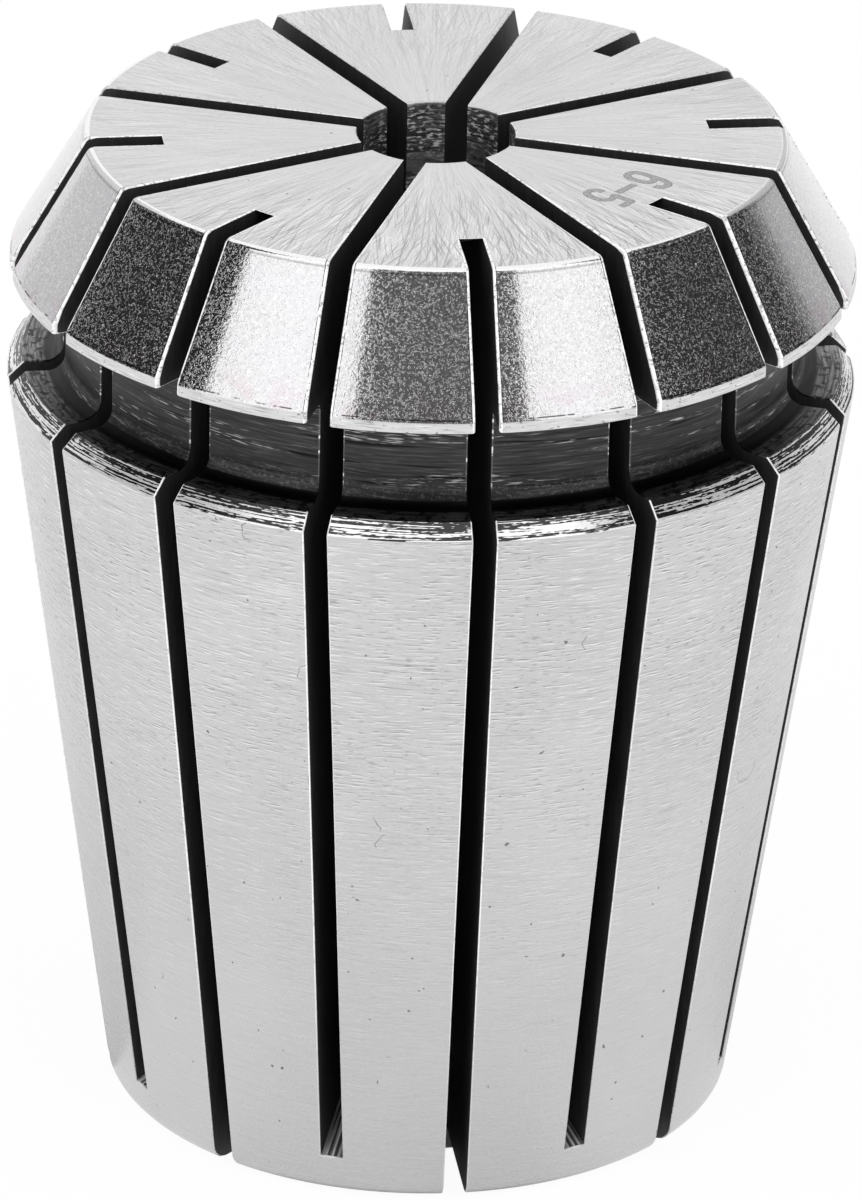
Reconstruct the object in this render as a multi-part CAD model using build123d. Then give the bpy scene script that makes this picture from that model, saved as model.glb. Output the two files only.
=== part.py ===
from build123d import *
import os
from math import radians, tan

# A slotted spring collet, in millimetres.
# Z is the axis. The small rear face is at z = 0, and the nose points to +Z.

# Seat taper
overall_length = 40.0
body_diameter = 33.0            # the largest, where the taper meets the shoulder chamfer
body_half_angle = 8.0
shoulder_height = 30.7          # from the rear face to the lower wall of the nut groove
shoulder_chamfer = 0.6
rear_edge_radius = 0.8

# Nut groove and nose
groove_diameter = 28.7
groove_low_fillet = 0.7
groove_high_chamfer = 0.3
head_height = 5.5               # from the front face to the upper wall of the nut groove
rim_diameter = 32.8
rim_land = 0.45
nose_half_angle = 30.0
face_edge_radius = 0.35

# Bore
bore_diameter = 6.0
bore_length = 24.0              # measured from the front face
entry_diameter = 6.1            # opened a little behind the front face, where the webs don't close
entry_length = 3.5
entry_chamfer = 0.15
relief_diameter = 10.0
relief_mouth_chamfer = 0.5

# Slots, sawn in turn from the front and from the rear
slots_from_each_end = 8
slot_width = 0.9
slot_end_angle = 24.0           # slope of the slot ends, against the plane of the faces
front_slot_web = 1.8            # height of metal left under a front slot, at the outside
rear_slot_exit_radius = 10.6    # where the end of a rear slot breaks out of the front face

# Worked out
body_radius = body_diameter / 2
taper_top = shoulder_height - shoulder_chamfer
rear_radius = body_radius - taper_top * tan(radians(body_half_angle))
rim_radius = rim_diameter / 2
rim_bottom = overall_length - head_height
face_radius = rim_radius - (head_height - rim_land) * tan(radians(nose_half_angle))
bore_radius = bore_diameter / 2
entry_radius = entry_diameter / 2
entry_bottom = overall_length - entry_length
relief_radius = relief_diameter / 2
relief_top = overall_length - bore_length
relief_cone_bottom = relief_top - (relief_radius - bore_radius)
slot_slope = tan(radians(slot_end_angle))
reach = body_radius + 2         # cutters run this far out, and past both faces


def corner_at(section, place):
    """The corner of a section that lies nearest to a place."""
    return section.vertices().sort_by_distance(place)[0]


def half_section():
    """The turned shape, as a face in the XZ plane on the +X side of the axis."""
    corners = {
        "relief mouth": (relief_radius, 0),
        "rear edge": (rear_radius, 0),
        "taper top": (body_radius, taper_top),
        "shoulder": (body_radius - shoulder_chamfer, shoulder_height),
        "groove low": (groove_diameter / 2, shoulder_height),
        "groove high": (groove_diameter / 2, rim_bottom),
        "rim low": (rim_radius, rim_bottom),
        "rim high": (rim_radius, rim_bottom + rim_land),
        "face edge": (face_radius, overall_length),
        "entry mouth": (entry_radius, overall_length),
        "entry end": (entry_radius, entry_bottom),
        "bore start": (bore_radius, entry_bottom),
        "bore end": (bore_radius, relief_top),
        "relief end": (relief_radius, relief_cone_bottom),
    }
    roundings = {
        "rear edge": rear_edge_radius,
        "groove low": groove_low_fillet,
        "face edge": face_edge_radius,
    }
    chamfers = {
        "relief mouth": relief_mouth_chamfer,
        "groove high": groove_high_chamfer,
        "entry mouth": entry_chamfer,
    }
    section = make_face(Polyline(*corners.values(), close=True))
    for name, radius in roundings.items():
        section = fillet(corner_at(section, corners[name]), radius)
    for name, length in chamfers.items():
        section = chamfer(corner_at(section, corners[name]), length)
    return Plane.XZ * section


def slot_cutter(outline):
    """A saw-thin blade standing on the XZ plane, from the axis out to +X."""
    return extrude(Plane.XZ * make_face(Polyline(*outline, close=True)), slot_width / 2, both=True)


def front_slot():
    """Runs in from the nose, and leaves a web at the rear that thickens towards the bore."""
    floor_outside = front_slot_web - (reach - rear_radius) * slot_slope
    floor_on_axis = front_slot_web + rear_radius * slot_slope
    return slot_cutter([
        (0, floor_on_axis),
        (reach, floor_outside),
        (reach, overall_length + reach),
        (0, overall_length + reach),
    ])


def rear_slot():
    """Runs in from the rear, right through the nose rim, and leaves a web behind the front face."""
    end_on_axis = overall_length - rear_slot_exit_radius * slot_slope
    end_outside = end_on_axis + reach * slot_slope
    return slot_cutter([
        (0, -reach),
        (reach, -reach),
        (reach, end_outside),
        (0, end_on_axis),
    ])


def around(cutter, start_angle):
    """One cutter for each slot of a set, spaced evenly about the axis."""
    pitch = 360 / slots_from_each_end
    return [Rot(0, 0, start_angle + index * pitch) * cutter for index in range(slots_from_each_end)]


def make_collet():
    turned = revolve(half_section(), Axis.Z)
    half_pitch = 180 / slots_from_each_end
    return turned - around(rear_slot(), 0) - around(front_slot(), half_pitch)


os.makedirs("parts", exist_ok=True)
collet = make_collet()
collet.label = "collet"
export_step(collet, "parts/collet.step")
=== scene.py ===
from math import asin, atan2, cos, degrees, hypot, pi, radians, sin, tan

import bmesh
import bpy
from mathutils import Matrix, Vector


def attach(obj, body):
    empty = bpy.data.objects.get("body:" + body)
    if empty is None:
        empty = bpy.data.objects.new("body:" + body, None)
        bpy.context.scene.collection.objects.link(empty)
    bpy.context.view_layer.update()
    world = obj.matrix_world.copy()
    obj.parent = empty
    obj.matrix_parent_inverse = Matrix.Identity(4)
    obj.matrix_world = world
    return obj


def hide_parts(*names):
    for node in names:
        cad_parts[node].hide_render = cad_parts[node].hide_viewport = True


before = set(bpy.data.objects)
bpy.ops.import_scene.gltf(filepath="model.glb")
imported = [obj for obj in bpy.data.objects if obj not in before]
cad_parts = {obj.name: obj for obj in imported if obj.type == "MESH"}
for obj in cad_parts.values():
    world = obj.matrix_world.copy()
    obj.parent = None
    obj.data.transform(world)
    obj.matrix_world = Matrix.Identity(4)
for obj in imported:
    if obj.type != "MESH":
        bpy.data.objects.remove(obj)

scene = bpy.context.scene
milli = 0.001  # shapes are built in millimetres, then scaled once
perMetre = 1000  # millimetres in a metre
roundProfile = 0.5  # makes a bevel a part of a circle
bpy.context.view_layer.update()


# camera
camera = {
    "lens": 333.62,
    "sensor": 36,
    "distance": 436.871,
    "lookAt": (0, 0, 20.121),
    "azimuth": -7.666,
    "elevation": 24.767,
    "roll": 1.252,
    "slideRight": 0.2035,
}


def seenFrom(turn, lift):  # the way back to the viewer, and the level that runs to the viewer's right
    back = Vector((sin(turn) * cos(lift), -cos(turn) * cos(lift), sin(lift)))
    return back, Vector((cos(turn), sin(turn), 0))


def makeCamera(settings):
    turn, lift, roll = (radians(settings[key]) for key in ("azimuth", "elevation", "roll"))
    back, level = seenFrom(turn, lift)
    upright = back.cross(level)
    right = level * cos(roll) + upright * sin(roll)
    up = upright * cos(roll) - level * sin(roll)
    place = Vector(settings["lookAt"]) + back * settings["distance"] + right * settings["slideRight"]
    data = bpy.data.cameras.new("camera")
    data.lens = settings["lens"]
    data.sensor_width = settings["sensor"]
    made = bpy.data.objects.new("camera", data)
    scene.collection.objects.link(made)
    made.matrix_world = Matrix.Translation(place * milli) @ Matrix((right, up, back)).transposed().to_4x4()
    scene.camera = made


makeCamera(camera)
scene.view_settings.view_transform = "Standard"
print("camera placed")


# shader maths
class Sock:  # wraps one socket, so that plain Python expressions add Math nodes
    def __init__(self, finish, socket):
        self.finish, self.socket = finish, socket

    def calc(self, operation, *others):
        return self.finish.node("Math", {"operation": operation}, [self, *others])

    def __add__(self, other):
        return self.calc("ADD", other)

    __radd__ = __add__

    def __sub__(self, other):
        return self.calc("SUBTRACT", other)

    def __rsub__(self, other):
        return self.finish.node("Math", {"operation": "SUBTRACT"}, [other, self])

    def __mul__(self, other):
        return self.calc("MULTIPLY", other)

    def __truediv__(self, other):
        return self.calc("DIVIDE", other)

    def __abs__(self):
        return self.calc("ABSOLUTE")

    def also(self, output):  # another output of the same node
        return Sock(self.finish, self.socket.node.outputs[output])

    def over(self, low, high, most=1):  # 0 below low, most above high, smooth between; low may be the higher
        return self.finish.node("MapRange", {"interpolation_type": "SMOOTHSTEP"}, [self, low, high, 0, most])

    def near(self, middle, wide, thin, most=1):  # most within thin of the middle, 0 beyond wide
        return abs(self - middle).over(wide, thin, most)

    def atLeast(self, floor):  # lifts 0 to floor and leaves 1 as it is
        return self * (1 - floor) + floor

    def swing(self, much):  # noise as a change to either side
        return (self - 0.5) * much


wear = {  # pits, and short crooked scratches
    "pit": (1, 0.5), "pitFrom": (0.765, 0.80),
    "drift": {"Scale": 0.9, "Detail": 2}, "driftBy": 1.6, "ringLeast": 0.3, "ringSpread": 0.7,
    "hairWidth": (0.030, 0.012), "hairPiece": (0.20, 0.26), "hairSoft": 0.97,
}


class Finish:  # one material and its node tree
    def __init__(self, name, tree=None):
        self.material = None
        if tree is None:
            self.material = bpy.data.materials.new(name)
            self.material.use_nodes = True
            tree = self.material.node_tree
        self.tree = tree
        tree.nodes.clear()

    def node(self, kind, settings=None, inputs=None, output=0):
        made = self.tree.nodes.new("ShaderNode" + kind)
        for key, value in (settings or {}).items():
            setattr(made, key, value)
        pairs = inputs.items() if isinstance(inputs, dict) else enumerate(inputs or [])
        for key, value in pairs:
            if isinstance(value, Sock):
                self.tree.links.new(value.socket, made.inputs[key])
            else:
                made.inputs[key].default_value = value
        return Sock(self, made.outputs[output]) if made.outputs else None

    def blend(self, factor, first, second):  # mixes two colours
        colours = [(*c, 1) if isinstance(c, tuple) else c for c in (first, second)]
        return self.node("Mix", {"data_type": "RGBA"}, {0: factor, 6: colours[0], 7: colours[1]}, 2)

    def noise(self, vector, scale, detail, rough, warp=0):
        return self.node("TexNoise", {}, {"Vector": vector, "Scale": scale, "Detail": detail,
                                          "Roughness": rough, "Distortion": warp})

    def layer(self, parts, kind):  # noise over three stretched parts; a part of 1 leaves room for a seed
        *stretches, detail, rough = kind
        parts = [part * stretch for part, stretch in zip(parts, stretches)]
        return self.noise(self.vector(*parts), 1, detail, rough)

    def vector(self, *parts):
        return self.node("CombineXYZ", {}, list(parts))

    def place(self):  # the object's own x, y and z, in millimetres
        spot = self.node("TexCoord", {}, {}, "Object")
        return [self.node("SeparateXYZ", {}, [spot], axis) * perMetre for axis in range(3)]

    def spot(self):
        return self.vector(*self.place())

    def turned(self):  # angle, radius and height about the collet's axis
        x, y, z = self.place()
        return y.calc("ARCTAN2", x), (x * x + y * y).calc("SQRT"), z

    def across(self):  # millimetres to either side of the nearest slot's middle
        angle, radius, _ = self.turned()
        step = pi / collet["slotsEachEnd"]
        return ((angle / step + 0.5).calc("FRACT") - 0.5) * step * radius

    def pits(self, scale):  # sparse specks
        return self.noise(self.spot(), scale, *wear["pit"]).over(*wear["pitFrom"])

    def hairs(self, scale, share):  # each is a piece of a ring, in some cells
        spot = self.spot()
        drift = self.node("TexNoise", {}, {"Vector": spot, **wear["drift"]}, "Color")
        by = (wear["driftBy"],) * 3
        spot = self.node("VectorMath", {"operation": "MULTIPLY_ADD"}, [drift, by, spot])
        cell = self.node("TexVoronoi", {}, {"Vector": spot, "Scale": scale}, "Position")
        chance = cell.also("Color")
        red, green = (self.node("SeparateColor", {}, [chance], part) for part in range(2))
        reach = self.node("VectorMath", {"operation": "SUBTRACT"}, [spot, cell])
        away = self.node("VectorMath", {"operation": "LENGTH"}, [reach], "Value")
        lean = self.node("VectorMath", {"operation": "SUBTRACT"}, [chance, (0.5, 0.5, 0.5)])
        side = self.node("VectorMath", {"operation": "DOT_PRODUCT"}, [reach, lean], "Value")
        ring = abs(away - (green * wear["ringSpread"] + wear["ringLeast"])).over(*wear["hairWidth"])
        return ring * side.over(*wear["hairPiece"]) * red.over(share, share * wear["hairSoft"])

    def worn(self, tone, s):  # pits and hairs on a tone
        tone = self.blend(self.pits(s["pits"]) * s["pitDepth"], tone, grey(s["pitShade"]))
        return self.blend(self.hairs(*s["hairs"]) * s["hairDepth"], tone, grey(s["hairShade"]))

    def bump(self, height, depth):
        return self.node("Bump", {}, {"Strength": 1, "Distance": depth * milli, "Height": height})

    def steel(self, colour, roughness, normal, metallic=1):
        inputs = {"Base Color": colour, "Roughness": roughness, "Metallic": metallic, "Normal": normal}
        shader = self.node("BsdfPrincipled", {}, inputs)
        self.node("OutputMaterial", {}, [shader])
        return self.material


def grey(level):
    return (level,) * 3


# finishes of the collet
# a layer is three stretches or seeds, detail and roughness; a noise is its scale and the last two
# a From is where a mark starts, where it is full and how strong it gets; a shade is linear
groundTaper = {
    "arc": 14.5, "steel": 0.632, "dark": 0.20, "roughness": 0.27, "roughGrind": 0.10, "roughStreak": 0.08,
    "topFrom": (4, 27), "streakLow": 0.06, "lipLow": 0.1,  # heights, and what is left at the foot
    "streaks": ((1.0, 0, 0), (1.9, 40, 0), (1.0, 0, 0.055)),  # long, short, lips of the long
    "streakAlong": 1.2, "streakAcross": 16, "streakDepth": 0.70, "streakRelief": 0.6,
    "longFrom": (0.60, 0.70), "shortFrom": (0.61, 0.70, 0.8), "lipFrom": (0.58, 0.68), "lipLight": 0.22,
    "crowd": (0.20, 3, 0.30, 2, 0.5), "crowdFrom": (0.36, 0.60), "sparse": 0.3,
    "grind": (0.35, 7, 16, 2, 0.55), "grindFrom": (0.50, 0.86, 0.16), "grindDepth": 0.0014,
    "fine": (0.45, 70, 1, 2, 0.6), "fineAcross": 10, "fineLean": 0.4, "fineLow": 0.1,
    "fineDark": (0.56, 0.72), "darkTop": 0.4, "fineLight": (0.44, 0.30), "lightTop": 0.6, "light": 0.18,
    "cloud": (0.12, 1, 0.10, 2, 0.5), "cloudFrom": (0.25, 0.75), "cloudShades": (-0.03, 0.025),
    # painted shade: darker toward the foot, where the steel mirrors the floor's shadow
    "footFrom": (22, 2, 0.5), "footPaintedShade": -0.07, "faint": 0.1,
    "pits": 3.2, "pitDepth": 0.75, "pitShade": 0.10, "hairs": (0.40, 0.14), "hairDepth": 0.65,
    "hairShade": 0.15,
}


def finishTaper(s):
    f = Finish("ground_taper")
    angle, _, height = f.turned()
    arc = angle * s["arc"]
    flat = (arc, 1, height)
    top = height.over(*s["topFrom"])
    streaks = []
    for along, seed, drop in s["streaks"]:
        kind = (along, seed, s["streakAcross"], 1, 0.5)
        streaks.append(f.layer((arc * s["streakAlong"], 1, height + drop), kind))
    crowd = f.layer(flat, s["crowd"]).over(*s["crowdFrom"])  # streaks come in patches
    mark = streaks[0].over(*s["longFrom"]) + streaks[1].over(*s["shortFrom"])
    mark = mark.calc("MINIMUM", 1) * crowd.atLeast(s["sparse"]) * top.atLeast(s["streakLow"])
    lip = streaks[2].over(*s["lipFrom"]) * top.atLeast(s["lipLow"])
    grind = f.layer(flat, s["grind"])
    fine = f.layer((arc, 1, height * s["fineAcross"] + arc * s["fineLean"]), s["fine"])
    darker = fine.over(*s["fineDark"]) * (top * s["darkTop"] + s["fineLow"])
    lighter = fine.over(*s["fineLight"]) * (top * s["lightTop"] + s["fineLow"])
    low, high = (grey(s["steel"] + shade) for shade in s["cloudShades"])
    tone = f.blend(f.layer(flat, s["cloud"]).over(*s["cloudFrom"]), low, high)
    # painted shade toward the foot
    tone = f.blend(height.over(*s["footFrom"]), tone, grey(s["steel"] + s["footPaintedShade"]))
    tone = f.blend(darker, tone, grey(s["dark"] + s["faint"]))
    tone = f.blend(lighter, tone, grey(s["steel"] + s["light"]))
    tone = f.blend(lip, tone, grey(s["steel"] + s["lipLight"]))
    tone = f.blend(mark * s["streakDepth"], tone, grey(s["dark"]))
    tone = f.blend(grind.over(*s["grindFrom"]), tone, grey(s["dark"] + s["faint"]))
    rough = s["roughness"] + grind.swing(s["roughGrind"]) + mark * s["roughStreak"]
    return f.steel(f.worn(tone, s), rough, f.bump(grind + streaks[0] * s["streakRelief"], s["grindDepth"]))


noseCone = {
    "steel": 0.83, "low": 0.72, "roughness": 0.06, "roughGrain": 0.06,
    "grain": (6, 2, 0.6), "grainFrom": (0.36, 0.62), "grainDepth": 0.003,
    "strokes": (7.0, 9.5, 12.5), "stroke": (0, 0.5, 0.5), "strokeLine": (0.5, 0.060, 0.02),
    "mask": (0, 0.5), "maskScale": 0.9, "maskFrom": (0.52, 0.68),
    "strokeRough": 0.07, "strokeDull": 0.10, "strokeRelief": 0.6, "strokeDepth": 0.9, "strokeShade": 0.99,
    "curl": (5.2, 1, 0.5, 0.4), "curlLine": (0.47, 0.06, 0.01, 0.5), "curlShade": 0.68,
    "spark": (10, 0, 0.5), "sparkFrom": (0.76, 0.82), "sparkRough": 0.2, "sparkDull": 0.3,
    "cloud": (0.35, 2, 0.5), "cloudFrom": (0.45, 0.65, 0.5), "cloudShade": (0.80, 0.78, 0.82),
    "stain": (0.8, 2, 0.5), "stainFrom": (0.48, 0.62), "stainLow": (36.3, 35.2, 0.5),
    "stainShade": (0.72, 0.60, 0.66),
    "paintedCornerFrom": (39.84, 39.90), "cornerHighlight": 0.94,  # a painted highlight on the rounded corner of the front face
    "under": (39.79, 0.05, 0.02, 0.4), "underPaintedShade": 0.12,  # a painted dark line of shade right below it
    # painted shade: near-black hairlines beside the burrs and along the cone's foot
    "gap": (1.7, 2, 0.6), "paintedLineDepth": 0.85, "lineShade": 0.03,
    "shadeBesideBurr": (0.565, 0.030, 0.012), "besideGap": (0.42, 0.50),
    "foot": (35.04, 0.035, 0.012), "footGap": (0.56, 0.46),
}


def finishCone(s):
    f = Finish("nose_cone")
    height = f.place()[2]
    spot = f.spot()
    grain = f.noise(spot, *s["grain"])
    strokes = 0
    for scale in s["strokes"]:  # short bright curls of three sizes
        ridge = f.noise(spot, scale, *s["stroke"]).near(*s["strokeLine"])
        mask = f.noise(spot, scale * s["maskScale"], *s["mask"]).over(*s["maskFrom"])
        strokes = (ridge * mask).calc("MAXIMUM", strokes)
    curl = f.noise(spot, *s["curl"]).near(*s["curlLine"])
    spark = f.noise(spot, *s["spark"]).over(*s["sparkFrom"])
    cloud = f.noise(spot, *s["cloud"]).over(*s["cloudFrom"])
    stain = f.noise(spot, *s["stain"]).over(*s["stainFrom"]) * height.over(*s["stainLow"])
    tone = f.blend(grain.over(*s["grainFrom"]), grey(s["low"]), grey(s["steel"]))
    tone = f.blend(curl, tone, grey(s["curlShade"]))
    tone = f.blend(cloud, tone, s["cloudShade"])
    tone = f.blend(stain, tone, s["stainShade"])
    tone = f.blend(strokes * s["strokeDepth"], tone, grey(s["strokeShade"]))
    # painted highlight on the rounded corner of the front face
    tone = f.blend(height.over(*s["paintedCornerFrom"]), tone, grey(s["cornerHighlight"]))
    # painted dark line of shade right below the corner
    tone = f.blend(height.near(*s["under"]), tone, grey(s["underPaintedShade"]))
    # painted shade: near-black hairlines beside the burrs and along the cone's foot
    gap = f.noise(spot, *s["gap"])
    beside = abs(f.across()).near(*s["shadeBesideBurr"]) * gap.over(*s["besideGap"])
    foot = height.near(*s["foot"]) * gap.over(*s["footGap"])
    tone = f.blend(beside.calc("MAXIMUM", foot) * s["paintedLineDepth"], tone, grey(s["lineShade"]))
    rough = s["roughness"] + grain.swing(s["roughGrain"]) + strokes * s["strokeRough"]
    rough = rough + spark * s["sparkRough"]
    dull = 1 - strokes * s["strokeDull"] - spark * s["sparkDull"]
    return f.steel(tone, rough, f.bump(grain + strokes * s["strokeRelief"], s["grainDepth"]), dull)


frontFace = {
    "steel": 0.62, "dark": 0.24, "light": 0.95, "roughness": 0.26, "roughLine": 0.12, "metal": 0.3,
    "fan": 160, "fanDepth": 0.0016, "sway": (0.11, 1, 0.5), "swayBy": 0.03,  # sway bends the lines
    "lines": ((0.0, 1.7, 0.15), (0.013, 9.1, 0.22), (-0.018, 23.0, 0.3), (0.030, 51.0, 0.5)),
    "lineDark": (0.62, 0.65, 0.66), "lineLight": (0.38, 0.34, 0.42), "darkMost": 0.85,
    "cloud": (0.16, 2, 0.5), "cloudFrom": (0.25, 0.75), "cloudShades": (-0.03, 0.03),
    "patch": (0.22, 1, 0.5), "patchFrom": (0.40, 0.58), "patchLeast": 0.7,
    "frontLinesFrom": (-3, -9), "backLinesLeast": 0.45,  # the lines show fully toward the front (-y) and less at the back
    "fleck": (0.8, 71, 5, 2, 0.7), "fleckDark": (0.56, 0.68, 0.30), "fleckLight": (0.42, 0.30, 0.40),
    "pits": 2.9, "pitDepth": 0.8, "pitShade": 0.12, "hairs": (0.36, 0.10), "hairDepth": 0.4,
    "hairShade": 0.2,
}


def finishFace(s):
    f = Finish("front_face")
    angle, radius, _ = f.turned()
    y = f.place()[1]
    spot = f.spot()
    sway = f.noise(spot, *s["sway"]).swing(s["swayBy"])
    dark, light, first = 0, 0, None
    for twist, seed, short in s["lines"]:
        line = f.layer((angle + radius * twist + sway, 1, radius), (s["fan"], seed, short, 1, 0.5))
        dark = line.over(*s["lineDark"]) + dark
        light = line.over(*s["lineLight"]) + light
        first = first or line
    patch = f.noise(spot, *s["patch"]).over(*s["patchFrom"]).atLeast(s["patchLeast"])
    patch = patch * y.over(*s["frontLinesFrom"]).atLeast(s["backLinesLeast"])
    fleck = f.layer((angle * s["fan"], 1, radius), s["fleck"])
    low, high = (grey(s["steel"] + shade) for shade in s["cloudShades"])
    tone = f.blend(f.noise(spot, *s["cloud"]).over(*s["cloudFrom"]), low, high)
    tone = f.blend(fleck.over(*s["fleckDark"]), tone, grey(s["dark"]))
    tone = f.blend(fleck.over(*s["fleckLight"]), tone, grey(s["light"]))
    tone = f.blend(light.calc("MINIMUM", 1) * patch, tone, grey(s["light"]))
    tone = f.blend(dark.calc("MINIMUM", s["darkMost"]) * patch, tone, grey(s["dark"]))
    rough = s["roughness"] + first.swing(s["roughLine"])
    return f.steel(f.worn(tone, s), rough, f.bump(first, s["fanDepth"]), s["metal"])


rimLand = {
    "steel": 0.71, "roughness": 0.26, "roughRing": 0.1, "relief": 0.003, "lineRelief": 0.5,
    "ring": (9, 4, 16, 3, 0.6), "ringFrom": (0.54, 0.70, 0.5), "ringShade": 0.45,
    "line": (16, 14, 22, 1, 0.5), "lineDark": (0.60, 0.68, 0.6), "dark": 0.25,
    "lineLight": (0.40, 0.32, 0.8), "light": 0.95,
    "nick": (60, 8, 6, 2, 0.5), "nickFrom": (0.64, 0.69, 0.7), "nickShade": 0.2,
}


def finishLand(s):
    f = Finish("rim_land")
    angle, _, height = f.turned()
    ring, line, nick = (f.layer((angle, 1, height), s[key]) for key in ("ring", "line", "nick"))
    tone = f.blend(ring.over(*s["ringFrom"]), grey(s["steel"]), grey(s["ringShade"]))
    tone = f.blend(line.over(*s["lineDark"]), tone, grey(s["dark"]))
    tone = f.blend(line.over(*s["lineLight"]), tone, grey(s["light"]))
    tone = f.blend(nick.over(*s["nickFrom"]), tone, grey(s["nickShade"]))
    relief = f.bump(ring + line * s["lineRelief"], s["relief"])
    return f.steel(tone, s["roughness"] + ring * s["roughRing"], relief)


# the burrs are real bevels; their near-white, hardly metallic tone is a painted highlight
burrEdgeHighlight = {
    "bright": 0.98, "plain": 0.62, "roughness": 0.5, "roughGrain": 0.2, "metal": 0.1, "relief": 0.012,
    "grain": (5, 2, 0.6), "gap": (1.6, 2, 0.6), "gapUp": 2, "gapFrom": (0.54, 0.66, 0.4), "gapShade": 0.40,
    "crumb": (7, 2, 0.6), "crumbFrom": (0.57, 0.62, 0.6), "crumbUp": (24, 36), "crumbShade": 0.06,
    "highlightFadeLow": (14, 3), "highlightFadeBack": (1, 5), "highlightFadeTop": (39.0, 39.6),  # the painted highlight gives way to plain steel low down and on the back near the top
}


def finishBurrHighlight(s):
    f = Finish("burr_edge_painted_highlight")
    x, y, height = f.place()
    spot = f.spot()
    grain = f.noise(spot, *s["grain"])
    gap = f.noise(f.vector(x, y, height * s["gapUp"]), *s["gap"])
    crumb = f.noise(spot, *s["crumb"])
    # painted highlight, plain steel low down and on the back near the top
    back = y.over(*s["highlightFadeBack"]) * height.over(*s["highlightFadeTop"])
    tone = f.blend(height.over(*s["highlightFadeLow"]).calc("MAXIMUM", back), grey(s["bright"]), grey(s["plain"]))
    tone = f.blend(gap.over(*s["gapFrom"]), tone, grey(s["gapShade"]))
    tone = f.blend(crumb.over(*s["crumbFrom"]) * height.over(*s["crumbUp"]), tone, grey(s["crumbShade"]))
    rough = s["roughness"] + grain.swing(s["roughGrain"])
    return f.steel(tone, rough, f.bump(grain, s["relief"]), s["metal"])


grooveTurned = {
    # the groove's steel is painted near black: painted shade under the rim
    "arc": 14.35, "steel": 0.054, "bright": 0.42, "black": 0.012, "roughness": 0.42, "roughLine": 0.2,
    "relief": 0.005, "lineRelief": 0.6, "tilt": 0.03,
    "ring": (0.10, 4, 6, 3, 0.6), "ringFrom": (0.35, 0.65), "ringShades": (0.8, 1.2), "blue": 0.003,
    "line": (0.6, 11, 12, 2, 0.6), "lineLight": (0.54, 0.68, 0.35), "lineDark": (0.46, 0.36, 0.4),
    "score": (0.16, 31, 5, 1, 0.5), "scoreFrom": (0.64, 0.68, 0.85),
    "dash": (1.3, 19, 19, 1, 0.5), "dashFrom": (0.56, 0.64),
    "band": (0.10, 25, 2.6, 1, 0.5), "bandFrom": (0.57, 0.63),  # the dashes keep to a few heights
    "floorFrom": (15.2, 14.5),  # the floor catches light, the flat walls stay black
    "lowFrom": (31.8, 31.2), "mottle": (4.5, 3, 0.7), "mottleFrom": (0.38, 0.56, 0.5),
    # painted shade in the groove's lower corner
    "speck": (5, 33, 9, 2, 0.7), "speckFrom": (0.50, 0.62), "paintedCornerFrom": (30.98, 30.90),
    "wallFrom": (0.50, 0.66, 0.6), "wallTop": (33, 34), "wallShade": 0.20,
    "shelfFrom": (14.95, 15.15), "shelfTop": (31.1, 30.8),
    "turn": (0.7, 9, 51, 2, 0.6), "turnFrom": (0.36, 0.64), "turnShades": (0.09, 0.38),
    "scar": (2.2, 2.2, 57, 2, 0.7), "scarFrom": (0.52, 0.60, 0.85),
    "edgeFrom": (0.520, 0.495), "edgeUp": (31.2, 31.6), "edgeDepth": 0.35, "edgeHighlight": 0.30,
    "bead": (20, 43, 3.4, 2, 0.6), "beadFrom": (0.55, 0.62), "beadGlint": 0.95,
}


def finishGroove(s):
    f = Finish("groove_turned_painted_shade")
    angle, radius, height = f.turned()
    arc = angle * s["arc"]
    tilted = height + arc * s["tilt"]
    ring = f.layer((arc, 1, height), s["ring"])
    line, score, dash, band = (f.layer((arc, 1, tilted), s[key]) for key in ("line", "score", "dash", "band"))
    speck = f.layer((arc, 1, height), s["speck"])
    mottle = f.noise(f.spot(), *s["mottle"])
    floor = radius.over(*s["floorFrom"])
    dim, lit = (s["steel"] * shade for shade in s["ringShades"])
    tone = f.blend(ring.over(*s["ringFrom"]), grey(dim), (lit, lit, lit + s["blue"]))
    tone = f.blend(line.over(*s["lineLight"]) * floor, tone, grey(s["bright"] / 2))
    tone = f.blend(line.over(*s["lineDark"]), tone, grey(s["black"]))
    tone = f.blend(score.over(*s["scoreFrom"]), tone, grey(s["black"]))
    dashes = dash.over(*s["dashFrom"]) * band.over(*s["bandFrom"]) * floor
    tone = f.blend(dashes, tone, grey(s["bright"]))
    low = height.over(*s["lowFrom"]) * floor
    low = low * speck.over(*s["speckFrom"]) * mottle.over(*s["mottleFrom"])
    tone = f.blend(low, tone, grey(s["bright"] / 2))
    # painted shade: black in the corner where the groove meets the shoulder
    tone = f.blend(height.over(*s["paintedCornerFrom"]), tone, grey(s["black"]))
    wall = (1 - floor) * mottle.over(*s["wallFrom"]) * height.over(*s["wallTop"])
    tone = f.blend(wall, tone, grey(s["wallShade"]))
    turn = f.layer((arc, radius, 1), s["turn"])
    scar = f.layer((arc, radius, 1), s["scar"])
    dim, lit = (grey(shade) for shade in s["turnShades"])
    shelf = f.blend(scar.over(*s["scarFrom"]), f.blend(turn.over(*s["turnFrom"]), dim, lit), grey(s["black"]))
    tone = f.blend(radius.over(*s["shelfFrom"]) * height.over(*s["shelfTop"]), tone, shelf)
    edge = abs(f.across()).over(*s["edgeFrom"]) * floor * height.over(*s["edgeUp"])  # along the saw's edges: a painted highlight, with its burr beads as painted glints
    bead = f.layer((angle, 1, height), s["bead"])
    # painted highlight along the slot edges, with white beads as painted glints
    tone = f.blend(edge * s["edgeDepth"], tone, grey(s["edgeHighlight"]))
    tone = f.blend(edge * bead.over(*s["beadFrom"]), tone, grey(s["beadGlint"]))
    relief = f.bump(ring + line * s["lineRelief"], s["relief"])
    return f.steel(tone, s["roughness"] + line.swing(s["roughLine"]), relief)


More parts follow.
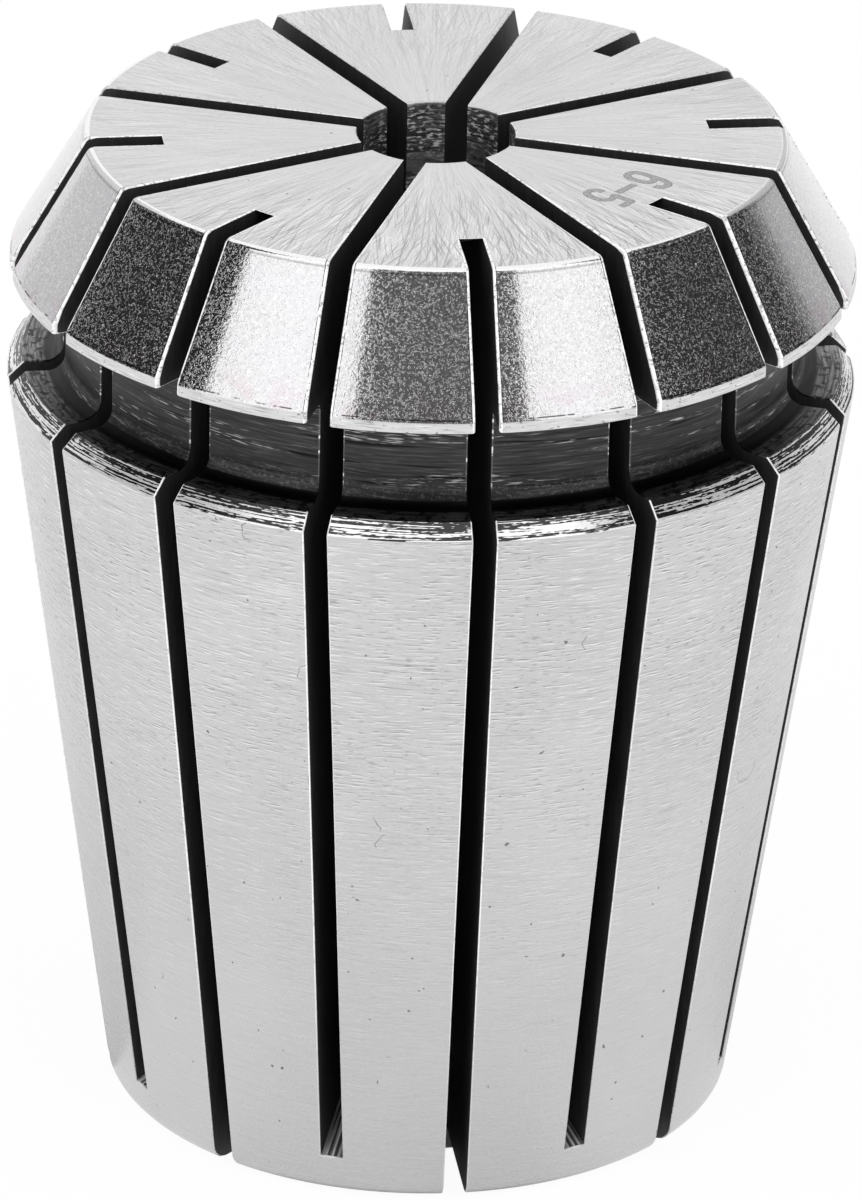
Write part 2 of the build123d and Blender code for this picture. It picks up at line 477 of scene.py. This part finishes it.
shoulderChamfer = {
    # the turned lines are real; their near-white and near-black tones are painted highlight and painted shade
    "arc": 16.2, "bright": 0.98, "dark": 0.065, "roughness": 0.22, "metal": 0.88, "dull": 0.30,
    "relief": 0.006, "lineRelief": 2, "dashRelief": 0.5,
    "slopeBy": 0.7, "slopeFoot": 9.52,  # it runs up the chamfer, from 0 to 0.84
    "line": (0.24, 12, 14, 1, 0.5), "broken": (1.0, 22, 16, 1, 0.5), "dash": (3.4, 17, 14, 1, 0.5),
    "breakBy": 0.45, "patch": (0.5, 37, 0.5, 1, 0.5), "patchFrom": (0.40, 0.55, 0.4), "lowFrom": (0.09, 0.05),
    "brightBandFrom": (0.14, 0.20), "brightBandTo": (0.56, 0.42, 0.08),  # more painted highlight lines in this band of the slope
    "topFrom": (0.48, 0.66, 0.03), "dimTo": (0.36, 0.12), "dimFrom": (0.06, 0.12, 0.04),
    "cutHighlightFrom": (0.520, 0.560),
}


def finishChamfer(s):
    f = Finish("shoulder_chamfer")
    angle, radius, height = f.turned()
    slope = (height - radius) * s["slopeBy"] - s["slopeFoot"]
    flat = (angle * s["arc"], 1, slope)
    line, broken, dash, patch = (f.layer(flat, s[key]) for key in ("line", "broken", "dash", "patch"))
    share = line + dash.swing(s["breakBy"]) + broken.swing(s["breakBy"])
    share = share + slope.over(*s["lowFrom"]) * patch.over(*s["patchFrom"])
    share = share + slope.over(*s["brightBandFrom"]) * slope.over(*s["brightBandTo"])
    share = share - slope.over(*s["topFrom"]) - slope.over(*s["dimTo"]) * slope.over(*s["dimFrom"])
    cut = share.over(*s["cutHighlightFrom"])
    tone = f.blend(cut, grey(s["dark"]), grey(s["bright"]))
    relief = f.bump(line * s["lineRelief"] + broken + dash * s["dashRelief"], s["relief"])
    return f.steel(tone, s["roughness"], relief, s["metal"] - cut * s["dull"])


rearRound = {
    "arc": 12, "steel": 0.62, "roughness": 0.30, "roughRing": 0.12, "relief": 0.002,
    "ring": (0.4, 8, 12, 3, 0.6), "ringFrom": (0.40, 0.70), "ringShade": 0.72,
    "line": (0.8, 16, 20, 2, 0.5), "lineFrom": (0.62, 0.70, 0.5), "lineShade": 0.25,
}


def finishRear(s):
    f = Finish("rear_round")
    angle, radius, height = f.turned()
    ring, line = (f.layer((angle * s["arc"], radius, height), s[key]) for key in ("ring", "line"))
    tone = f.blend(ring.over(*s["ringFrom"]), grey(s["steel"]), grey(s["steel"] * s["ringShade"]))
    tone = f.blend(line.over(*s["lineFrom"]), tone, grey(s["lineShade"]))
    return f.steel(tone, s["roughness"] + ring.swing(s["roughRing"]), f.bump(ring + line, s["relief"]))


sawnWall = {
    # the slot walls' steel is painted near black: painted shade inside the slots
    "steel": 0.085, "roughness": 0.55, "roughSaw": 0.1, "metal": 0.85, "relief": 0.005, "lean": 0.45,
    "saw": (60, 5, 0.5, 3, 0.6), "sawFrom": (0.35, 0.75), "sawShades": (0.85, 1.15),
    "chatter": (0.6, 9, 3, 2, 0.5), "chatterFrom": (0.62, 0.75, 0.25), "chatterShade": 0.15,
}


def finishSawn(s):
    f = Finish("sawn_slot_painted_shade")
    angle, radius, height = f.turned()
    saw = f.layer((angle, radius, height), s["saw"])
    chatter = f.layer((radius, radius + height * s["lean"], angle), s["chatter"])
    dim, lit = (grey(s["steel"] * shade) for shade in s["sawShades"])
    tone = f.blend(saw.over(*s["sawFrom"]), dim, lit)
    tone = f.blend(chatter.over(*s["chatterFrom"]), tone, grey(s["chatterShade"]))
    return f.steel(tone, s["roughness"] + saw * s["roughSaw"], f.bump(chatter, s["relief"]), s["metal"])


slotEnd = {
    "bright": 0.75, "dark": 0.10, "roughness": 0.45, "metal": 0.6, "relief": 0.008, "fleckRelief": 0.4,
    "track": (8, 0.12, 0.05, 1, 0.5), "trackFrom": (0.46, 0.58),
    "fleck": (13, 0.5, 8, 2, 0.5), "fleckFrom": (0.58, 0.66, 0.7), "fleckShade": 0.98,
    "shadeReachFrom": (7.0, 9.5), "deepShade": 0.03,  # painted shade: darker further into the slot
}


def finishSlotEnd(s):
    f = Finish("slot_end")
    _, radius, height = f.turned()
    across = f.across()
    track = f.layer((across, radius, height), s["track"])
    fleck = f.layer((across, radius, 1), s["fleck"])
    tone = f.blend(track.over(*s["trackFrom"]), grey(s["dark"]), grey(s["bright"]))
    tone = f.blend(fleck.over(*s["fleckFrom"]), tone, grey(s["fleckShade"]))
    tone = f.blend(radius.over(*s["shadeReachFrom"]), grey(s["deepShade"]), tone)
    return f.steel(tone, s["roughness"], f.bump(track + fleck * s["fleckRelief"], s["relief"]), s["metal"])


boreHoned = {
    # the bore's steel is painted darker than the outside: painted shade inside the hole
    "arc": 3, "steel": 0.27, "bright": 0.85, "roughness": 0.36, "roughRing": 0.15, "metal": 0.90,
    "dull": 0.38, "relief": 0.008, "dashRelief": 1.5,
    "ring": (0.5, 0.5, 6, 3, 0.6), "ringFrom": (0.40, 0.62), "ringShades": (0.5, 1.4),
    "dash": (3.4, 5, 10, 2, 0.55), "dashFrom": (0.52, 0.60),
    "patch": (0.5, 15, 0.5, 1, 0.5), "patchFrom": (0.34, 0.56), "patchLeast": 0.2,
}


def finishBore(s):
    f = Finish("bore_honed_painted_shade")
    angle, radius, height = f.turned()
    arc = angle * s["arc"]
    ring = f.layer((arc, radius, height), s["ring"])
    dash, patch = (f.layer((arc, 1, height), s[key]) for key in ("dash", "patch"))
    dim, lit = (grey(s["steel"] * shade) for shade in s["ringShades"])
    tone = f.blend(ring.over(*s["ringFrom"]), dim, lit)
    shine = dash.over(*s["dashFrom"]) * patch.over(*s["patchFrom"]).atLeast(s["patchLeast"])
    tone = f.blend(shine, tone, grey(s["bright"]))
    relief = f.bump(ring + dash * s["dashRelief"], s["relief"])
    return f.steel(tone, s["roughness"] + ring.swing(s["roughRing"]), relief, s["metal"] - shine * s["dull"])


print("finishes defined")


# the collet itself, in millimetres and degrees
collet = {
    "length": 39.994, "bodyRadius": 16.494, "bodyAngle": 8, "shoulder": 30.7, "shoulderChamfer": 0.6,
    "grooveRadius": 14.35, "rimBottom": 34.5, "rimRadius": 16.4, "rimLand": 0.45, "noseAngle": 30,
    "entryRadius": 3.05, "entryBottom": 36.5, "entryStep": 0.3, "boreRadius": 3, "boreBottom": 16,
    "reliefRadius": 5, "reliefTop": 14, "mouthChamfer": 0.5,
    "slotWidth": 0.9, "slotAngle": 24, "frontWeb": 1.8, "rearExit": 10.6, "slotsEachEnd": 8,
    "stepsPerFinger": 14, "sharpFrom": 28, "flatWeight": 90, "burrSteps": 2,
    "burr": 0.05, "noseBurr": 0.08, "heavyBurr": 0.13, "heavySlots": (-67.5, -45), "heavyReach": 5,
    "rimCorner": 0.17, "rimLower": 0.13, "cornerReach": (0.1, 0.2), "cornerTop": 0.03, "cornerFoot": 0.05,
}
weld = 1e-4  # points nearer than this are one
onPlane = 1e-5  # points nearer than this lie on a cut


def taperTop(s):
    return s["shoulder"] - s["shoulderChamfer"]


def rearRadius(s):
    return s["bodyRadius"] - taperTop(s) * tan(radians(s["bodyAngle"]))


def turnedSection(s):  # the closed half section, each corner with its rounding and steps
    coneHeight = s["length"] - s["rimBottom"] - s["rimLand"]
    faceRadius = s["rimRadius"] - coneHeight * tan(radians(s["noseAngle"]))
    corners = [  # radius, height, rounding, steps
        (s["reliefRadius"] + s["mouthChamfer"], 0, 0.05, 1),
        (rearRadius(s), 0, 0.70, 6),
        (s["bodyRadius"], taperTop(s), 0.04, 2),
        (s["bodyRadius"] - s["shoulderChamfer"], s["shoulder"], 0.04, 1),
        (s["grooveRadius"], s["shoulder"], 0.70, 6),
        (s["grooveRadius"], s["rimBottom"], 0.30, 2),
        (s["rimRadius"], s["rimBottom"], 0.07, 2),
        (s["rimRadius"], s["rimBottom"] + s["rimLand"], 0.07, 2),
        (faceRadius, s["length"], 0.14, 3),
        (s["entryRadius"], s["length"], 0.10, 2),
        (s["entryRadius"], s["entryBottom"], 0, 1),
        (s["boreRadius"], s["entryBottom"] - s["entryStep"], 0, 1),
        (s["boreRadius"], s["boreBottom"], 0, 1),
        (s["reliefRadius"], s["reliefTop"], 0, 1),
        (s["reliefRadius"], s["mouthChamfer"], 0.05, 1),
    ]
    bm = bmesh.new()
    verts = [bm.verts.new((radius, 0, height)) for radius, height, size, steps in corners]
    bm.faces.new(verts)
    for vert, (radius, height, size, steps) in zip(verts, corners):
        if size:
            bmesh.ops.bevel(bm, geom=[vert], offset=size, offset_type="OFFSET", segments=steps,
                            profile=roundProfile, affect="VERTICES", material=-1)
    bmesh.ops.delete(bm, geom=bm.faces[:], context="FACES_ONLY")
    return bm


def fingerCell(s):  # from the middle of a front slot to the middle of a rear slot
    bm = turnedSection(s)
    half = pi / s["slotsEachEnd"]
    gap = s["slotWidth"] / 2
    bmesh.ops.spin(bm, geom=bm.edges[:] + bm.verts[:], cent=(0, 0, 0), axis=(0, 0, 1), angle=half,
                   steps=s["stepsPerFinger"], use_duplicate=False)
    for vert in bm.verts:  # pull both ends back to the slot walls, every ring keeping its own radius
        x, y, z = vert.co
        radius, turn = hypot(x, y), atan2(y, x)
        margin = asin(gap / radius)
        turn = margin + (half - 2 * margin) * turn / half
        vert.co = (radius * cos(turn), radius * sin(turn), z)
    ends = []
    for side in (0, half):
        wallNormal = Matrix.Rotation(side, 3, "Z") @ Vector((0, 1, 0))
        edges = [e for e in bm.edges if e.is_boundary
                 and all(abs(abs(v.co.dot(wallNormal)) - gap) < weld for v in e.verts)]
        ends.append((side, bmesh.ops.contextual_create(bm, geom=edges)["faces"][0]))
    slope = radians(s["slotAngle"])
    cuts = [  # a point of the slanted end, its normal and the side that the web is on
        (Vector((rearRadius(s), 0, s["frontWeb"])), Vector((sin(slope), 0, cos(slope))), -1),
        (Vector((s["rearExit"], 0, s["length"])), Vector((-sin(slope), 0, cos(slope))), 1),
    ]
    for (side, face), (point, normal, keep) in zip(ends, cuts):
        turn = Matrix.Rotation(side, 3, "Z")
        point, normal = turn @ point, turn @ normal
        cut = bmesh.ops.bisect_plane(bm, geom=[face, *face.edges, *face.verts], dist=onPlane, plane_co=point,
                                     plane_no=normal)
        pieces = [g for g in cut["geom"] if isinstance(g, bmesh.types.BMFace)]
        web = next(f for f in pieces if (f.calc_center_median() - point).dot(normal) * keep > 0)
        made = bmesh.ops.extrude_edge_only(bm, edges=list(web.edges))["geom"]
        bmesh.ops.delete(bm, geom=[web], context="FACES_ONLY")
        inward = turn @ Vector((1, 0, 0))
        for vert in (g for g in made if isinstance(g, bmesh.types.BMVert)):
            radius = hypot(vert.co.x, vert.co.y)
            vert.co = (inward.x * radius, inward.y * radius, vert.co.z)
    return bm


def colletMesh(s):
    bm = fingerCell(s)
    bmesh.ops.mirror(bm, geom=bm.verts[:] + bm.edges[:] + bm.faces[:], axis="Y", merge_dist=weld)
    pitch = 2 * pi / s["slotsEachEnd"]
    bmesh.ops.spin(bm, geom=bm.verts[:] + bm.edges[:] + bm.faces[:], cent=(0, 0, 0), axis=(0, 0, 1),
                   angle=2 * pi - pitch, steps=s["slotsEachEnd"] - 1, use_duplicate=True)
    bmesh.ops.remove_doubles(bm, verts=bm.verts[:], dist=weld)
    bmesh.ops.rotate(bm, verts=bm.verts[:], cent=(0, 0, 0), matrix=Matrix.Rotation(pitch / 2, 3, "Z"))
    bmesh.ops.recalc_face_normals(bm, faces=bm.faces[:])
    return bm


regions = ["taper", "cone", "face", "land", "groove", "chamfer", "rear", "sawn", "slotEnd", "bore", "burr"]
margins = {  # how far a face's middle may lie off its surface, and what its normal has to reach
    "face": 0.001, "mouth": 0.02, "entry": 0.11, "land": 0.03, "shoulder": 0.02, "chamfer": 0.01,
    "slot": 0.95, "sawnNormal": 0.6, "slotNormal": 0.02, "rearNormal": -0.9,
    "grooveLow": 0.05, "grooveHigh": 0.02, "grooveIn": 0.5, "grooveOut": 0.03,
}


def regionOf(face, s, m):  # which finish a face takes, from where it lies
    middle, normal = face.calc_center_median(), face.normal
    radius = hypot(middle.x, middle.y)
    outward = Vector((middle.x, middle.y, 0)).normalized()
    step = pi / s["slotsEachEnd"]
    off = abs((atan2(middle.y, middle.x) / step + 0.5) % 1 - 0.5) * step * radius
    if abs(normal.dot(outward.cross(Vector((0, 0, 1))))) > m["sawnNormal"]:
        return "sawn"
    tilt = abs(abs(normal.dot(outward)) - sin(radians(s["slotAngle"])))
    if off < s["slotWidth"] / 2 * m["slot"] and tilt < m["slotNormal"]:
        return "slotEnd"
    if middle.z > s["length"] - m["face"]:
        return "face"
    if radius < s["reliefRadius"] + s["mouthChamfer"] + m["mouth"]:
        return "bore" if middle.z < s["length"] - m["entry"] else "land"
    if middle.z > s["rimBottom"] + s["rimLand"] - m["land"]:
        return "cone"
    if middle.z > s["rimBottom"] + m["face"] and radius > s["rimRadius"] - m["land"]:
        return "land"
    if middle.z > s["shoulder"] - m["shoulder"]:
        return "groove"
    if middle.z > taperTop(s) - m["chamfer"]:
        return "chamfer"
    return "rear" if normal.z < m["rearNormal"] else "taper"


def burrWidth(middle, onCone, s):  # how wide the edge of a slot is broken
    radius, height = hypot(middle.x, middle.y), middle.z
    near, far = s["cornerReach"]
    if radius > s["rimRadius"] - far and height > s["rimBottom"] - s["cornerFoot"]:
        if height < s["rimBottom"] + s["cornerTop"]:
            return s["rimLower"]
        if radius > s["rimRadius"] - near:
            return s["rimCorner"]
    if onCone and height > s["rimBottom"] + s["rimLand"]:
        turn = degrees(atan2(middle.y, middle.x))
        heavy = any(0 < turn - slot < s["heavyReach"] for slot in s["heavySlots"])
        return s["heavyBurr"] if heavy else s["noseBurr"]
    return s["burr"]


def onGroove(middle, s, m):  # whether an edge belongs to the groove, and stays as dark
    outer = s["bodyRadius"] - s["shoulderChamfer"] - m["grooveOut"]
    if not s["grooveRadius"] - m["grooveIn"] < hypot(middle.x, middle.y) < outer:
        return False
    return s["shoulder"] - m["grooveLow"] < middle.z < s["rimBottom"] - m["grooveHigh"]


def makeCollet(s, finishes):
    bm = colletMesh(s)
    weight = bm.edges.layers.float.new("bevel_weight_edge")
    for face in bm.faces:
        face.smooth = True
        face.material_index = regions.index(regionOf(face, s, margins))
    for name in ("face", "rear"):  # the flat ends need no rings of quads
        flat = [face for face in bm.faces if face.material_index == regions.index(name)]
        bmesh.ops.dissolve_faces(bm, faces=flat, use_verts=False)
    walls = {regions.index("sawn"), regions.index("slotEnd")}
    for edge in bm.edges:
        if len(edge.link_faces) != 2:
            continue
        kinds = {face.material_index for face in edge.link_faces}
        middle = (edge.verts[0].co + edge.verts[1].co) / 2
        outside = hypot(middle.x, middle.y) > s["reliefRadius"] + s["mouthChamfer"]
        if len(kinds) == 2 and len(kinds & walls) == 1 and outside:
            edge[weight] = burrWidth(middle, regions.index("cone") in kinds, s) / s["rimCorner"]
        elif edge.calc_face_angle(0) > radians(s["sharpFrom"]):
            edge.smooth = False
    mesh = bpy.data.meshes.new("collet_rough")
    for finish in finishes:
        mesh.materials.append(finish)
    bm.to_mesh(mesh)
    bm.free()
    rough = bpy.data.objects.new("collet_rough", mesh)
    scene.collection.objects.link(rough)
    bevel = rough.modifiers.new("burr", "BEVEL")
    bevel.limit_method, bevel.width = "WEIGHT", s["rimCorner"]
    bevel.segments, bevel.profile = s["burrSteps"], roundProfile
    bevel.use_clamp_overlap = False
    # the bevels take the burr finish, whose near-white tone is a painted highlight
    bevel.material = regions.index("burr")
    even = rough.modifiers.new("even", "WEIGHTED_NORMAL")
    even.keep_sharp, even.weight = True, s["flatWeight"]
    bpy.context.view_layer.update()
    done = bpy.data.meshes.new_from_object(rough.evaluated_get(bpy.context.evaluated_depsgraph_get()))
    bpy.data.objects.remove(rough)
    done.name = "collet_body"
    for face in done.polygons:
        if face.material_index == regions.index("burr") and onGroove(face.center, s, margins):
            face.material_index = regions.index("groove")
    done.transform(Matrix.Scale(milli, 4))
    return bpy.data.objects.new("collet_body", done)


finishes = [  # in the order of regions
    finishTaper(groundTaper), finishCone(noseCone), finishFace(frontFace), finishLand(rimLand),
    finishGroove(grooveTurned), finishChamfer(shoulderChamfer), finishRear(rearRound),
    finishSawn(sawnWall), finishSlotEnd(slotEnd), finishBore(boreHoned), finishBurrHighlight(burrEdgeHighlight),
]
colletBody = makeCollet(collet, finishes)
scene.collection.objects.link(colletBody)
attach(colletBody, "root")
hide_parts("collet")
print("collet made:", len(colletBody.data.vertices), "points,", len(colletBody.data.polygons), "faces")


# the etched size number
sizeMark = {
    "stroke": 0.15, "height": 0.003, "lift": 0.0028, "turn": -135, "radial": 9.03,
    "tubeSteps": 2, "lineSteps": 6, "order": 3,
    "glyphs": {
        "6": (-1.48, [(0.33, 0.62), (0.32, 0.90), (0.08, 1.00), (-0.20, 0.96), (-0.36, 0.60), (-0.36, 0.0),
                      (-0.35, -0.56), (-0.20, -0.84), (0.16, -0.84), (0.35, -0.58), (0.35, -0.04),
                      (0.18, 0.30), (-0.12, 0.32), (-0.34, 0.10)]),
        "dash": (-0.25, [(-0.55, -0.04), (0.55, -0.04)]),
        "5": (0.94, [(0.36, 0.88), (0.0, 0.88), (-0.30, 0.88), (-0.31, 0.86), (-0.33, 0.50), (-0.36, 0.02),
                     (-0.34, 0.03), (-0.14, 0.15), (0.12, 0.14), (0.35, -0.06), (0.35, -0.62),
                     (0.16, -0.95), (-0.16, -0.95), (-0.36, -0.74), (-0.35, -0.50)]),
    },
}
etching = {
    "grain": (9, 2, 0.6), "grainFrom": (0.3, 0.7), "dark": 0.30, "light": 0.46,
    "roughness": 0.75, "metal": 0.25, "relief": 0.004,
}


def finishMark(s):
    f = Finish("etched_mark")
    grain = f.noise(f.spot(), *s["grain"])
    tone = f.blend(grain.over(*s["grainFrom"]), grey(s["dark"]), grey(s["light"]))
    return f.steel(tone, s["roughness"], f.bump(grain, s["relief"]), s["metal"])


def strokeMesh(points, s):
    data = bpy.data.curves.new("stroke", "CURVE")
    data.dimensions = "3D"
    data.bevel_depth = s["stroke"]
    data.bevel_resolution = s["tubeSteps"]
    data.resolution_u = s["lineSteps"]
    data.use_fill_caps = True
    line = data.splines.new("NURBS")
    line.points.add(len(points) - 1)
    for point, (across, up) in zip(line.points, points):
        point.co = (across, up, 0, 1)
    line.order_u, line.use_endpoint_u = s["order"], True
    holder = bpy.data.objects.new("stroke", data)
    scene.collection.objects.link(holder)
    bpy.context.view_layer.update()
    mesh = bpy.data.meshes.new_from_object(holder.evaluated_get(bpy.context.evaluated_depsgraph_get()))
    bpy.data.objects.remove(holder)
    return mesh


def linked(name, bm, material):  # turns a bmesh into an object of the scene
    mesh = bpy.data.meshes.new(name)
    bm.to_mesh(mesh)
    bm.free()
    made = bpy.data.objects.new(name, mesh)
    scene.collection.objects.link(made)
    mesh.materials.append(material)
    return made


def makeMark(s):
    bm = bmesh.new()
    for across, points in s["glyphs"].values():
        mesh = strokeMesh([(across + x, y) for x, y in points], s)
        bm.from_mesh(mesh)
        bpy.data.meshes.remove(mesh)
    bmesh.ops.scale(bm, vec=(1, 1, s["height"] / s["stroke"]), verts=bm.verts[:])
    read = radians(s["turn"])
    out = read + pi / 2
    axes = Matrix(((cos(read), cos(out), 0), (sin(read), sin(out), 0), (0, 0, 1)))
    place = Vector((cos(out) * s["radial"], sin(out) * s["radial"], collet["length"] + s["lift"]))
    bmesh.ops.transform(bm, matrix=Matrix.Translation(place) @ axes.to_4x4(), verts=bm.verts[:])
    bmesh.ops.scale(bm, vec=(milli,) * 3, verts=bm.verts[:])
    bmesh.ops.recalc_face_normals(bm, faces=bm.faces[:])
    return linked("size_mark", bm, finishMark(etching))


mark = makeMark(sizeMark)
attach(mark, "root")
print("size mark made")


# floor, backdrop, lamps and cards, in metres; directions are turned from the camera's side
studio = {
    "floorSize": 3.0, "floorSides": 96, "floorDrop": 0.00002, "floorColour": 0.94, "speckLight": 0.01,
    "speck": (0.4, 3, 0.5), "seenLift": 0.95, "mirroredLift": 0.10, "sideLift": 0.7,
    "sideFrom": (0.3, 0.9), "sideTo": (1.9, 1.3),  # radians off the camera's side
    "clearFrom": (7.85, 8.0),  # millimetres; the floor stays dark under the collet
    "ambient": 0.78, "white": 1.0, "whiteColour": (1, 1, 1, 1),
    "lampDistance": 1.0, "cardDistance": 1.1, "lookHeight": 0.03, "cardRows": 8, "cardColumns": 16,
}


def rays(f, *kinds):  # 1 where a ray is of one of these kinds
    total = 0
    for kind in kinds:
        total = f.node("LightPath", {}, {}, f"Is {kind} Ray") + total
    return total.calc("MINIMUM", 1)


def makeFloor(s):
    bm = bmesh.new()
    bmesh.ops.create_circle(bm, cap_ends=True, segments=s["floorSides"], radius=s["floorSize"])
    bmesh.ops.translate(bm, vec=(0, 0, -s["floorDrop"]), verts=bm.verts[:])
    f = Finish("floor_white")
    speck = f.noise(f.spot(), *s["speck"])
    tone = f.blend(speck, grey(s["floorColour"]), grey(s["floorColour"] + s["speckLight"]))
    paper = f.node("BsdfDiffuse", {}, {"Color": tone})
    glow = f.node("Emission", {}, {"Color": s["whiteColour"], "Strength": s["white"]})
    angle, radius, _ = f.turned()
    off = abs(angle + radians(90 - camera["azimuth"]))
    sides = off.over(*s["sideFrom"]) * off.over(*s["sideTo"])
    mirrored = rays(f, "Glossy", "Transmission") * (sides * s["sideLift"] + s["mirroredLift"])
    lift = rays(f, "Camera") * s["seenLift"] + mirrored
    clear = radius.over(*s["clearFrom"])
    mixed = f.node("MixShader", {}, [lift.calc("MINIMUM", s["seenLift"]) * clear, paper, glow])
    f.node("OutputMaterial", {}, [mixed])
    return linked("floor", bm, f.material)


def makeWorld(s):
    world = bpy.data.worlds.new("studio")
    world.use_nodes = True
    f = Finish("studio", world.node_tree)
    strength = s["ambient"] + rays(f, "Camera", "Glossy", "Transmission") * (s["white"] - s["ambient"])
    glow = f.node("Background", {}, {"Color": s["whiteColour"], "Strength": strength})
    f.node("OutputWorld", {}, [glow])
    scene.world = world


softBoxes = {  # azimuth and elevation, width and height, radiance
    "boxLeft": (-42, 34, 0.64, 0.80, 1.3),
    "boxRight": (45, 34, 0.56, 0.80, 1.3),
    "boxTop": (0, 72, 0.60, 0.50, 1.3),
}


def aimed(azimuth, elevation, s):  # a frame at that direction that looks at the collet
    back, side = seenFrom(radians(camera["azimuth"] + azimuth), radians(elevation))
    place = back * s["lampDistance"] + Vector((0, 0, s["lookHeight"]))
    return Matrix.Translation(place) @ Matrix((side, back.cross(side), back)).transposed().to_4x4()


def makeLamps(boxes, s):
    for name, (azimuth, elevation, width, height, radiance) in boxes.items():
        data = bpy.data.lights.new(name, "AREA")
        data.shape, data.size, data.size_y = "RECTANGLE", width, height
        data.energy = radiance * pi * width * height
        lamp = bpy.data.objects.new(name, data)
        scene.collection.objects.link(lamp)
        lamp.matrix_world = aimed(azimuth, elevation, s)
        lamp.visible_camera = lamp.visible_glossy = False  # the cards stand for the lamps in the steel


cards = {  # azimuth from and to, elevation from and to, and how bright
    "cardFront": (-21.5, 28, 4, 55, 0.122),
    "cardBoxLeft": (-64, -21.5, 4, 60, 1.18),
    "cardBoxRight": (28, 60, 4, 60, 1.18),
    "cardTop": (-60, 60, 60, 84, 1.10),
    "cardLeft": (-113, -64, 4, 60, 0.028),
    "cardRight": (60, 114, 4, 60, 0.040),
    "cardFadeA": (114, 118, 4, 60, 0.09),
    "cardFadeB": (118, 122, 4, 60, 0.23),
    "cardFadeC": (122, 127, 4, 45, 0.43),
    "cardFarLeft": (-150, -113, 0, 45, 0.64),
    "cardFarRight": (127, 150, 0, 45, 0.49),
    "cardEdgeRight": (150, 172, 0, 45, 0.60),
}


def makeCards(panels, s):
    for name, (left, right, low, high, level) in panels.items():
        f = Finish(name)
        f.node("OutputMaterial", {}, [f.node("Emission", {}, {"Color": (*grey(level), 1), "Strength": 1})])
        bm = bmesh.new()
        points = []
        for index in range(s["cardRows"] + 1):
            lift = radians(low + (high - low) * index / s["cardRows"])
            points.append(bm.verts.new((0, -cos(lift) * s["cardDistance"], sin(lift) * s["cardDistance"])))
        edges = [bm.edges.new(pair) for pair in zip(points, points[1:])]
        start = Matrix.Rotation(radians(camera["azimuth"] + left), 3, "Z")
        bmesh.ops.rotate(bm, verts=bm.verts[:], cent=(0, 0, 0), matrix=start)
        bmesh.ops.spin(bm, geom=bm.verts[:] + edges, cent=(0, 0, 0), axis=(0, 0, 1),
                       angle=radians(right - left), steps=s["cardColumns"], use_duplicate=False)
        panel = linked(name, bm, f.material)
        panel.visible_camera = panel.visible_diffuse = panel.visible_shadow = False
        panel.visible_transmission = panel.visible_volume_scatter = False


makeFloor(studio)
makeWorld(studio)
makeLamps(softBoxes, studio)
makeCards(cards, studio)
print("studio made")


# bring the scene up to date
bpy.context.view_layer.update()
